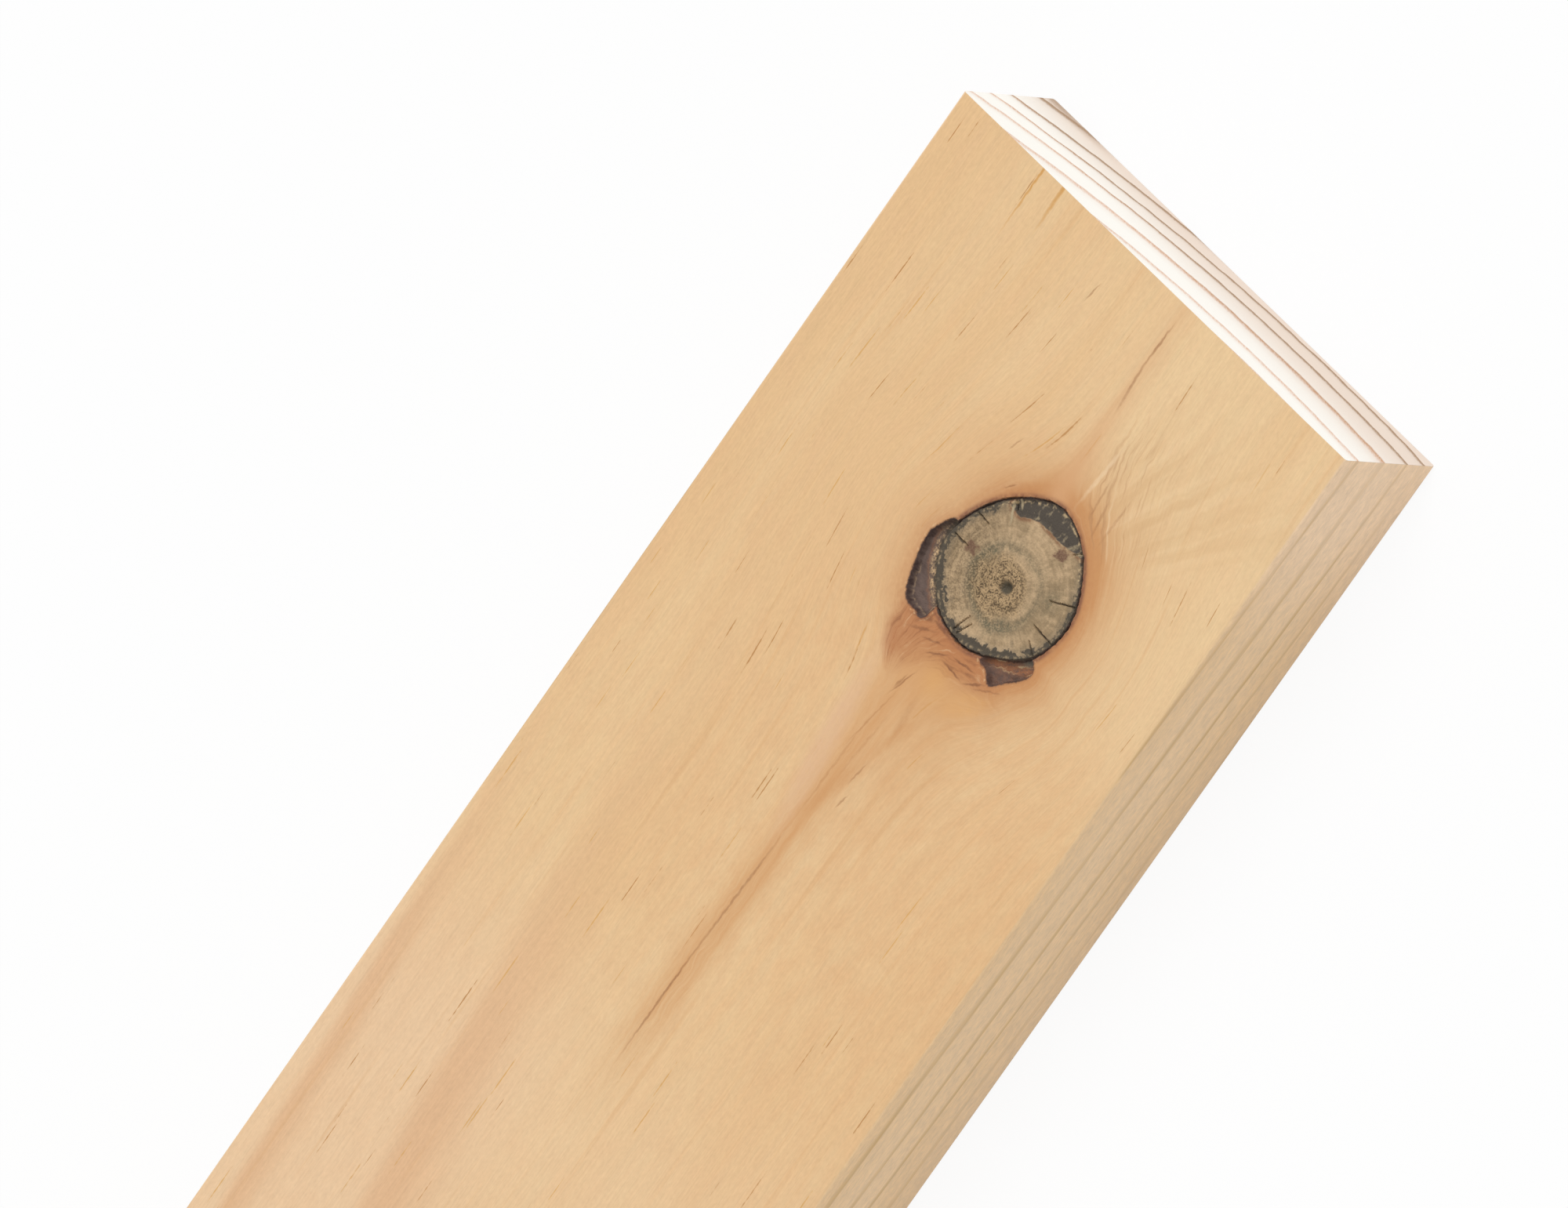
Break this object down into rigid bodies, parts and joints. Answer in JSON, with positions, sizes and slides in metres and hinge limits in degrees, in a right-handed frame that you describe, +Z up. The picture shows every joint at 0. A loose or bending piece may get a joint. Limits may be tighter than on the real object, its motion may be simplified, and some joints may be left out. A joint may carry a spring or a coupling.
{
  "type": "timber lumber plank",
  "caption": "Dressed pine board of rectangular section with lightly eased arrises and a dead encased knot near one end; sawn stock for joinery, trim, shelving and framing.",
  "frame": {"origin": "middle of the board's lower wide face, on the floor", "axes": "+X along the length towards the knotty end, +Y across the width, +Z up out of the wide face that shows the knot"},
  "size_m": [1.8288, 0.0888, 0.0254],
  "materials": {
    "pine": "planed, unsealed softwood"
  },
  "bodies": {
    "root": {"plank": "pine"}
  },
  "joints": []
}
